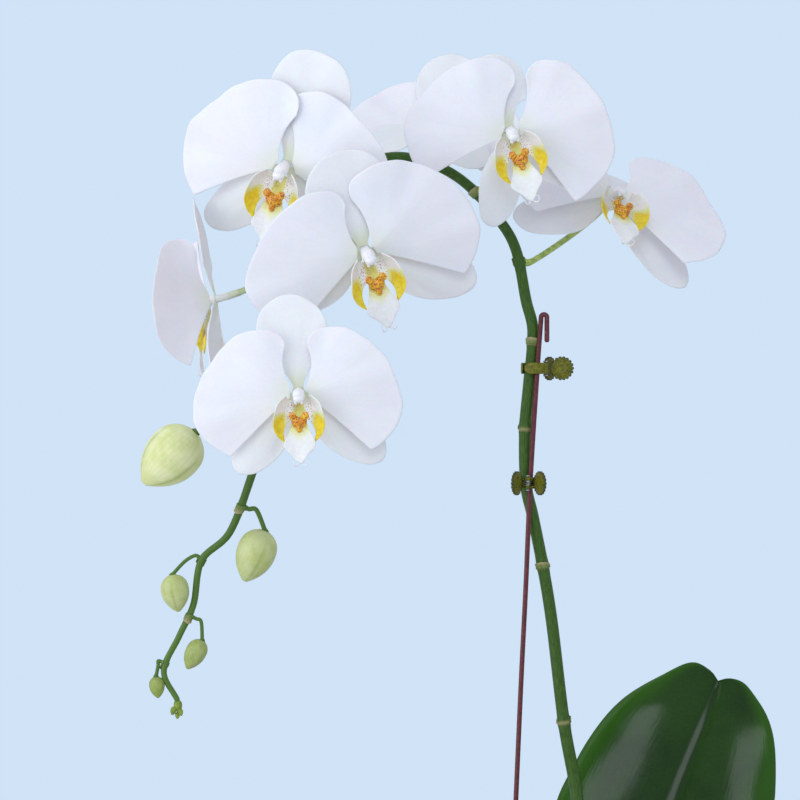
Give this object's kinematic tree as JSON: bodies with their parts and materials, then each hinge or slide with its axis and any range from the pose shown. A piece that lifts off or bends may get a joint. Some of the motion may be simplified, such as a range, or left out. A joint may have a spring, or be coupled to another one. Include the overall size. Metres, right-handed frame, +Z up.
{
  "type": "potted orchid",
  "caption": "White moth orchid in a plain round pot: arching flower spike on a hooked wire stake with spring claw clips, broad leaves and bark.",
  "frame": {"origin": "centre of the pot's flat underside", "axes": "+Z up along the pot's axis; the flowers face -Y and the spike arches towards -X"},
  "size_m": [0.3616, 0.2509, 0.605],
  "materials": {
    "pot_glaze": "gloss",
    "bark": "matt",
    "crown_green": "satin",
    "leaf_green": "gloss",
    "root_velamen": "matt",
    "stem_green": "satin",
    "stake_paint": "satin",
    "clip_olive": "satin",
    "pin_steel": "brushed",
    "petal_white": "satin",
    "lip_white_yellow": "satin",
    "column_white": "satin",
    "bud_green": "satin"
  },
  "bodies": {
    "plant": {"pot": "pot_glaze", "bark_medium": "bark", "crown": "crown_green", "leaf_1": "leaf_green", "leaf_2": "leaf_green", "leaf_3": "leaf_green", "leaf_4": "leaf_green", "leaf_5": "leaf_green", "root_1": "root_velamen", "root_2": "root_velamen", "flower_spike": "stem_green", "stake": "stake_paint", "clip_lower_fixed_half": "clip_olive", "clip_lower_spring_pin": "pin_steel", "clip_upper_fixed_half": "clip_olive", "clip_upper_spring_pin": "pin_steel", "flower_F_calyx": "petal_white", "flower_F_petal_left": "petal_white", "flower_F_petal_right": "petal_white", "flower_F_lip": "lip_white_yellow", "flower_F_column": "column_white", "flower_E_calyx": "petal_white", "flower_E_petal_left": "petal_white", "flower_E_petal_right": "petal_white", "flower_E_lip": "lip_white_yellow", "flower_E_column": "column_white", "flower_G_calyx": "petal_white", "flower_G_petal_left": "petal_white", "flower_G_petal_right": "petal_white", "flower_G_lip": "lip_white_yellow", "flower_G_column": "column_white", "flower_B_calyx": "petal_white", "flower_B_petal_left": "petal_white", "flower_B_petal_right": "petal_white", "flower_B_lip": "lip_white_yellow", "flower_B_column": "column_white", "flower_A_calyx": "petal_white", "flower_A_petal_left": "petal_white", "flower_A_petal_right": "petal_white", "flower_A_lip": "lip_white_yellow", "flower_A_column": "column_white", "flower_D_calyx": "petal_white", "flower_D_petal_left": "petal_white", "flower_D_petal_right": "petal_white", "flower_D_lip": "lip_white_yellow", "flower_D_column": "column_white", "flower_C_calyx": "petal_white", "flower_C_petal_left": "petal_white", "flower_C_petal_right": "petal_white", "flower_C_lip": "lip_white_yellow", "flower_C_column": "column_white", "bud_1": "bud_green", "bud_2": "bud_green", "bud_3": "bud_green", "bud_4": "bud_green", "bud_5": "bud_green", "tip_buds": "bud_green"},
    "clip_lower_jaw": {"clip_lower_moving_half": "clip_olive"},
    "clip_upper_jaw": {"clip_upper_moving_half": "clip_olive"}
  },
  "joints": [
    {"name": "clip_lower_hinge", "type": "hinge", "parent": "plant", "child": "clip_lower_jaw", "pos_m": [-0.02394, -0.0092, 0.38375], "axis": [0, 0, 1], "range_deg": [0, 30], "stiffness_Nm_per_rad": 0.005, "springref_deg": -17.19},
    {"name": "clip_upper_hinge", "type": "hinge", "parent": "plant", "child": "clip_upper_jaw", "pos_m": [-0.01433, 0.00302, 0.44085], "axis": [0, 0, 1], "range_deg": [0, 30], "stiffness_Nm_per_rad": 0.005, "springref_deg": -17.19}
  ]
}
